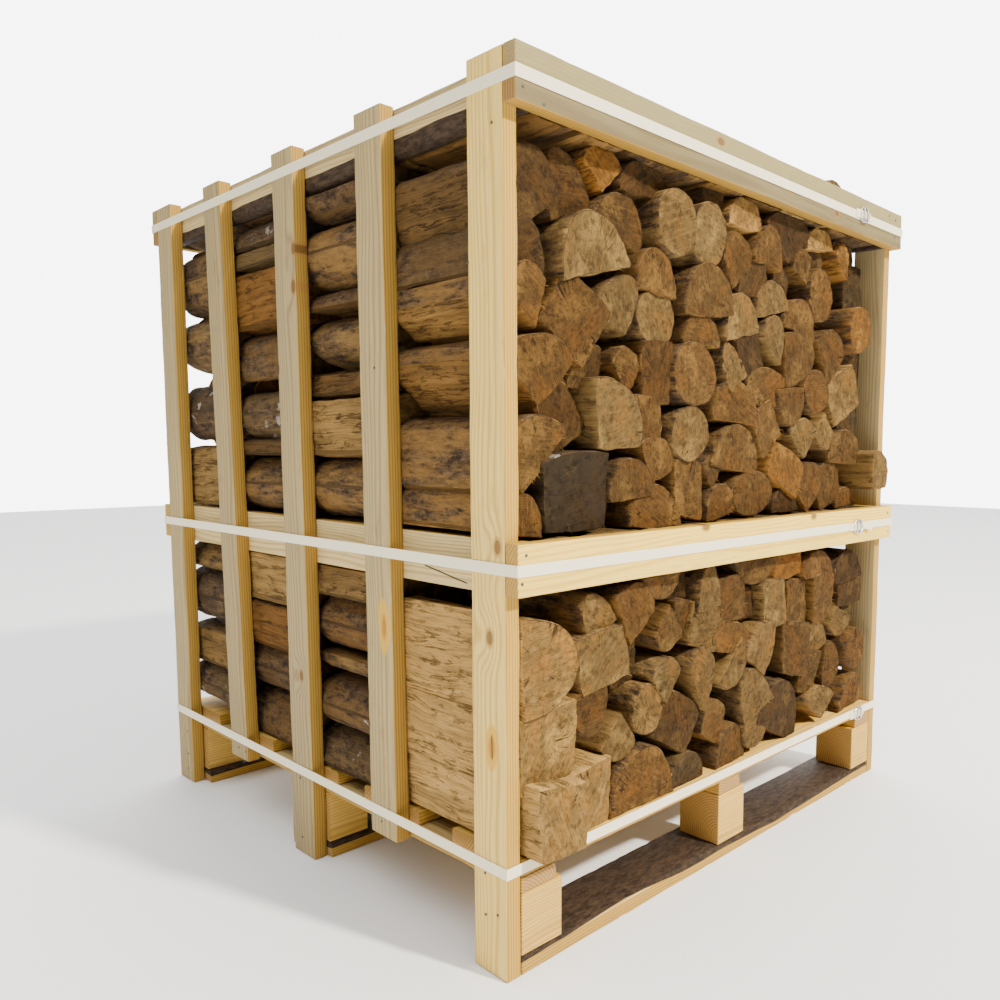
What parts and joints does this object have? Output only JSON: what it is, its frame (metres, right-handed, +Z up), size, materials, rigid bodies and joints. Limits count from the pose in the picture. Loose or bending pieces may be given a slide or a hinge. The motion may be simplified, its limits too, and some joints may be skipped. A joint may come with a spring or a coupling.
{
  "type": "crate of birch firewood",
  "caption": "Pallet crate with slatted sides and an open front and back, filled with rows of split birch logs and held by plastic straps with wire buckles.",
  "frame": {"origin": "middle of the base, on the floor", "axes": "+Z up, the open front with the buckles faces -Y, +X to the right seen from the front"},
  "size_m": [1.0024, 1.0572, 1.1363],
  "materials": {
    "slat_pine": "sawn pine, weathered",
    "pallet_pine": "sawn pine, fresh",
    "birch_wood": "split and sawn birch with some bark",
    "strap_plastic": "white cord strapping, slightly see-through",
    "buckle_steel": "galvanised wire"
  },
  "bodies": {
    "root": {"back_left_block": "pallet_pine", "back_log_row": "birch_wood", "back_middle_block": "pallet_pine", "back_middle_board": "slat_pine", "back_right_block": "pallet_pine", "back_runner": "pallet_pine", "back_top_board": "slat_pine", "big_half_log": "birch_wood", "bottom_buckle": "buckle_steel", "bottom_strap": "strap_plastic", "broad_half_log": "birch_wood", "cut_post_log": "birch_wood", "deck_board_1": "pallet_pine", "deck_board_2": "pallet_pine", "deck_board_3": "pallet_pine", "deck_board_4": "pallet_pine", "deck_board_5": "pallet_pine", "front_left_block": "pallet_pine", "front_log_row": "birch_wood", "front_middle_block": "pallet_pine", "front_middle_board": "slat_pine", "front_right_block": "pallet_pine", "front_runner": "pallet_pine", "front_top_board": "slat_pine", "leaning_log": "birch_wood", "left_middle_rail": "slat_pine", "left_slat_1": "slat_pine", "left_slat_2": "slat_pine", "left_slat_3": "slat_pine", "left_slat_4": "slat_pine", "left_slat_5": "slat_pine", "left_stringer": "pallet_pine", "left_top_rail": "slat_pine", "low_round_log": "birch_wood", "middle_buckle": "buckle_steel", "middle_left_block": "pallet_pine", "middle_middle_block": "pallet_pine", "middle_right_block": "pallet_pine", "middle_runner": "pallet_pine", "middle_strap": "strap_plastic", "middle_stringer": "pallet_pine", "overhanging_log": "birch_wood", "right_middle_rail": "slat_pine", "right_round_log": "birch_wood", "right_slat_1": "slat_pine", "right_slat_2": "slat_pine", "right_slat_3": "slat_pine", "right_slat_4": "slat_pine", "right_slat_5": "slat_pine", "right_stringer": "pallet_pine", "right_top_rail": "slat_pine", "second_log_row": "birch_wood", "squared_log": "birch_wood", "third_log_row": "birch_wood", "top_buckle": "buckle_steel", "top_log": "birch_wood", "top_strap": "strap_plastic", "twin_round_log_left": "birch_wood", "twin_round_log_right": "birch_wood", "wide_half_log": "birch_wood"}
  },
  "joints": []
}
